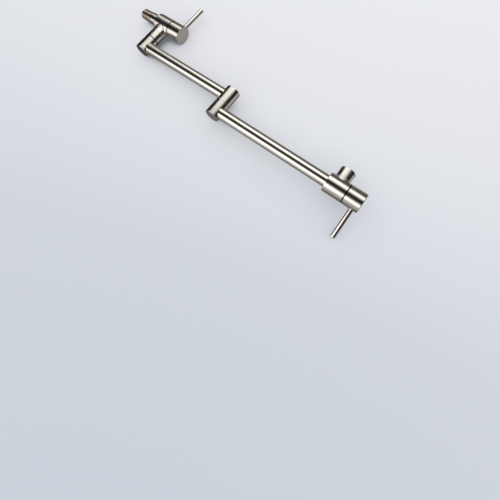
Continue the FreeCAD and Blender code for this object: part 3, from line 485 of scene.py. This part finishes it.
# %% [markdown]
# ## Dressing the solids
# The outer solids already have the right shape, so they could only lose by being made again. They keep their mesh
# and place, and get a finish through their material slot.

# %%
def dress(nodes, metal):
    """Gives solids their finish through their material slot."""
    for name in nodes:
        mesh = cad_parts[name].data
        mesh.materials.clear()
        mesh.materials.append(metal)
    print(metal.name, "on", ", ".join(nodes))


dress(["wall_valve_body"], NICKEL_WALL)
dress(["spout_valve_body"], NICKEL_SPOUT)
dress(["wall_handle_hub", "spout_handle_hub"], NICKEL_HUB)
dress(["lower_arm_tube", "upper_arm_tube", "inlet_nipple"], NICKEL_TUBE)
dress(["branch_collar", "shoulder_head", "elbow_lower_head", "elbow_upper_head", "aerator_housing"], NICKEL_HEAD)
dress(["shoulder_cap", "elbow_cap", "elbow_plug"], NICKEL_CAP)
dress(["wall_lever"], NICKEL_WALL_LEVER)
dress(["spout_lever"], NICKEL_LEVER)

# %% [markdown]
# ## What is inside
# Nothing inside shows from outside, but the tap may be taken apart. Turned brass and steel keep their tool rings,
# ceramic is ground smooth and faintly speckled, rubber is dull with a fine grain, and plastic shows its flow.

# %%
def matter(name, shades, metallic, rough, axis, ring_share, grain, height, specular=0.5, seams=()):
    """One material for a solid: colour, gloss and height all follow the same mix of rings and grain.
    mixed = ring_share rings + (1 - ring_share) grain, and shades gives its dark, middle and light colour."""
    made = bpy.data.materials.new(name)
    made.use_nodes = True
    g = Graph(made.node_tree)
    place = g.add("TexCoord").outputs["Object"]
    rings = lines_across(g, place, axis, 2600.0, 30.0)
    spots = g.noise(place, grain, 4.0, 0.6)
    slow = g.noise(place, 60.0, 3.0)
    mixed = g.sum("ADD", g.sum("MULTIPLY", rings, ring_share), g.sum("MULTIPLY", spots, 1 - ring_share))
    shade = g.sum("ADD", g.sum("MULTIPLY", mixed, 0.7), g.sum("MULTIPLY", slow, 0.3))
    # the seams get a painted shade of the gap between the pieces
    base = paint_seam_shade(g, g.ramp(shade, list(zip((0.32, 0.50, 0.68), shades))), place, seams)
    gloss = g.sum("MULTIPLY_ADD", mixed, 0.16, rough - 0.08)
    bump = g.add("Bump", {"Strength": 0.5, "Distance": height, "Height": mixed})
    shader = g.add("BsdfPrincipled", {"Base Color": base, "Metallic": metallic, "Roughness": gloss,
                                      "Specular IOR Level": specular, "Normal": bump.outputs[0]})
    g.add("OutputMaterial", {"Surface": shader.outputs[0]})
    return made


def shades(red, green, blue, spread=0.10):
    """A dark, a middle and a light colour round one colour."""
    return [tuple(v * (1 + s) for v in (red, green, blue)) for s in (-spread, 0.0, spread)]


# where the valves' seams open onto it, the brass gets the same painted shade of the gap
BRASS_X = matter("turned_brass_x", shades(0.72, 0.50, 0.20), 1.0, 0.30, X_AXIS, 0.8, 900.0, 0.00002,
                 seams=[(X_AXIS, WALL_SEAM), (X_AXIS, SPOUT_SEAM)])
BRASS_Z = matter("turned_brass_z", shades(0.72, 0.50, 0.20), 1.0, 0.30, Z_AXIS, 0.8, 900.0, 0.00002)
STEEL_X = matter("turned_steel_x", shades(0.60, 0.59, 0.57), 1.0, 0.27, X_AXIS, 0.8, 900.0, 0.00002)
STEEL_Z = matter("turned_steel_z", shades(0.60, 0.59, 0.57), 1.0, 0.27, Z_AXIS, 0.8, 900.0, 0.00002)
CERAMIC = matter("ground_ceramic", shades(0.82, 0.81, 0.77, 0.05), 0.0, 0.20, X_AXIS, 0.15, 1800.0, 0.000004)
RUBBER = matter("black_rubber", shades(0.018, 0.018, 0.019, 0.30), 0.0, 0.62, X_AXIS, 0.05, 2200.0, 0.00002, 0.4)
PLASTIC = matter("bearing_plastic", shades(0.62, 0.60, 0.54, 0.06), 0.0, 0.42, Z_AXIS, 0.4, 700.0, 0.00001)

for end in ("wall_", "spout_"):
    dress([end + "cartridge_sleeve", end + "gland_nut", end + "stem"], BRASS_X)
    dress([end + "stem_clip", end + "grub_screw"], STEEL_X)
    dress([end + "fixed_disc", end + "moving_disc"], CERAMIC)
    dress([end + "seat_seal", end + "stem_ring", end + "cartridge_ring"], RUBBER)
dress(["shoulder_spindle", "elbow_spindle"], BRASS_Z)
dress(["shoulder_rings", "elbow_rings", "elbow_plug_ring", "aerator_gasket"], RUBBER)
dress(["shoulder_wear_washer", "shoulder_thrust_washer", "elbow_wear_washer", "elbow_thrust_washer",
       "aerator_straightener"], PLASTIC)
dress(["aerator_screen"], STEEL_Z)

# %% [markdown]
# ## The inlet's pipe thread
# The nipple screws into the pipe in the wall. A thread is a ramp wound round a tube. The Screw modifier can wind a
# profile, but its run-out and taper take several more steps. Here the tube's radius is a function of the place
# along it and the angle round it, so the thread can fade out at both ends by itself.

# %%
MM = 0.001
THREAD_LENGTH = 21.8            # all of these in millimetres
PITCH = 25.4 / 14               # fourteen turns to the inch
GROOVE_DEPTH = 1.15
CREST_FLAT, ROOT_FLAT = 0.07, 0.10      # shares of the pitch
ROOT_RADIUS = 9.2
NECK_START = 22.3


def thread_radius(x, v, crest):
    """crest less the depth of a 60 degree groove: the groove's phase is x / pitch less one turn per round, its
    flanks are straight, and its depth fades over the last turn and a half."""
    phase = np.mod(x / PITCH - v / (2 * math.pi), 1.0)
    flank = np.clip(np.abs(phase - 0.5) * 2.0, CREST_FLAT, 1 - ROOT_FLAT)
    depth = GROOVE_DEPTH * (1 - (flank - CREST_FLAT) / (1 - ROOT_FLAT - CREST_FLAT))
    fade = np.clip((THREAD_LENGTH + 0.3 - x) / (1.4 * PITCH), 0, 1)
    return crest - depth * fade


def nipple_points(columns=120):
    """Rings of a closed wall: out over the end face, along the thread and the neck, and back through the bore."""
    face = np.array([[0.9, 7.5], [0.25, 7.75], [0.0, 8.1], [0.0, 9.05], [0.12, 9.3]])
    thread_x = np.arange(0.2, THREAD_LENGTH + 0.25, PITCH / 16)
    neck = np.array([[22.1, 11.1], [22.25, 11.3], [22.5, 11.42], [22.9, 11.5], [28, 11.5], [34, 11.5], [40, 11.5],
                     [44.85, 11.5], [45.15, 11.4], [45.25, 11.2], [45.3, 9.5], [48, 9.5], [50.9, 9.5], [51.3, 9.1],
                     [51.3, 7.9], [50.9, 7.5], [40, 7.5], [25, 7.5], [10, 7.5]])
    v = turns(columns)[None, :]
    crest = np.minimum(10.30 + 0.37 * thread_x / THREAD_LENGTH, 9.35 + 1.1 * thread_x)[:, None]
    threaded = np.maximum(thread_radius(thread_x[:, None], v, crest), ROOT_RADIUS)
    x = np.concatenate([face[:, 0], thread_x, neck[:, 0]])
    r = np.vstack([np.repeat(face[:, 1:], columns, 1), threaded, np.repeat(neck[:, 1:], columns, 1)])
    x = np.repeat(x[:, None], columns, 1)
    return MM * np.stack([x, r * np.cos(v), r * np.sin(v)], axis=-1)


nipple = surface("inlet_nipple_threaded", nipple_points(), around=True, along=True)
centres = np.zeros(len(nipple.data.polygons) * 3)
nipple.data.polygons.foreach_get("center", centres)
is_thread = (centres.reshape(-1, 3)[:, 0] < NECK_START * MM).astype(np.int32)
for metal in (NICKEL_TUBE, NICKEL_THREAD):
    nipple.data.materials.append(metal)
nipple.data.polygons.foreach_set("material_index", is_thread)
print(int(is_thread.sum()), "faces are thread, and its grooves are", GROOVE_DEPTH, "mm deep")
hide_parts("inlet_nipple")
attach(nipple, "wall_valve")

# %% [markdown]
# ## The aerator's mesh
# Behind the outlet's rim sits a disc of woven steel wire that breaks the water up. A checked texture would look
# flat from close by. Each wire here is a thin tube whose middle line is a wave, and the wires across start half a
# wave later, so they pass over and under each other.

# %%
OUTLET_X = 541.8                # where the outlet's upright axis stands
MESH_HEIGHT = 65.8
MESH_RADIUS = 9.3
RIM_RADIUS, RIM_THICKNESS = 9.1, 0.42
WIRE = 0.17                     # the wire's radius
WIRE_GAP = 1.0
WIRES_ASIDE = 9                 # wires on each side of the middle one


def wire_points(offset, turn, samples=76, sides=6):
    """Middle line: t along, offset aside, height = 1.05 wire radius cos(pi t / gap + phase). A circle of the
    wire's radius is carried along it. turn swaps along and aside."""
    half = math.sqrt(max(MESH_RADIUS ** 2 - offset ** 2, 0.01))
    t = np.linspace(-half, half, samples)[:, None]
    v = turns(sides)[None, :]
    phase = math.pi * (round(offset / WIRE_GAP) + (1 if turn else 0))
    lift = 1.05 * WIRE * np.cos(math.pi * t / WIRE_GAP + phase)
    along, aside, high = t + 0 * v, offset + WIRE * np.cos(v) + 0 * t, MESH_HEIGHT + lift + WIRE * np.sin(v)
    if turn:
        along, aside = aside, along
        high = MESH_HEIGHT + lift - WIRE * np.sin(v)
    return MM * np.stack([OUTLET_X + along, aside, high], axis=-1)


def ring_points(radius, thick, height, columns=72, sides=16):
    """A round ring: (radius + thick cos u) out from the axis and height + thick sin u up."""
    u, v = turns(sides)[:, None], turns(columns)[None, :]
    out = radius + thick * np.cos(u) + 0 * v
    high = height + thick * np.sin(u) + 0 * v
    return MM * np.stack([OUTLET_X + out * np.cos(v), out * np.sin(v), high], axis=-1)


wires = [wire_points(float(n * WIRE_GAP), turn) for turn in (False, True)
         for n in range(-WIRES_ASIDE, WIRES_ASIDE + 1)]
print(len(wires), "wires, the longest", 2 * MESH_RADIUS, "mm")
mesh_disc = surface("aerator_mesh", *wires, around=True, close_start=True, close_end=True)
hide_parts("aerator_screen")
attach(mesh_disc, "upper_arm")
mesh_disc.data.materials.append(STEEL_Z)
mesh_rim = surface("aerator_mesh_rim", ring_points(RIM_RADIUS, RIM_THICKNESS, MESH_HEIGHT), around=True,
                   along=True)
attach(mesh_rim, "upper_arm")
mesh_rim.data.materials.append(STEEL_Z)
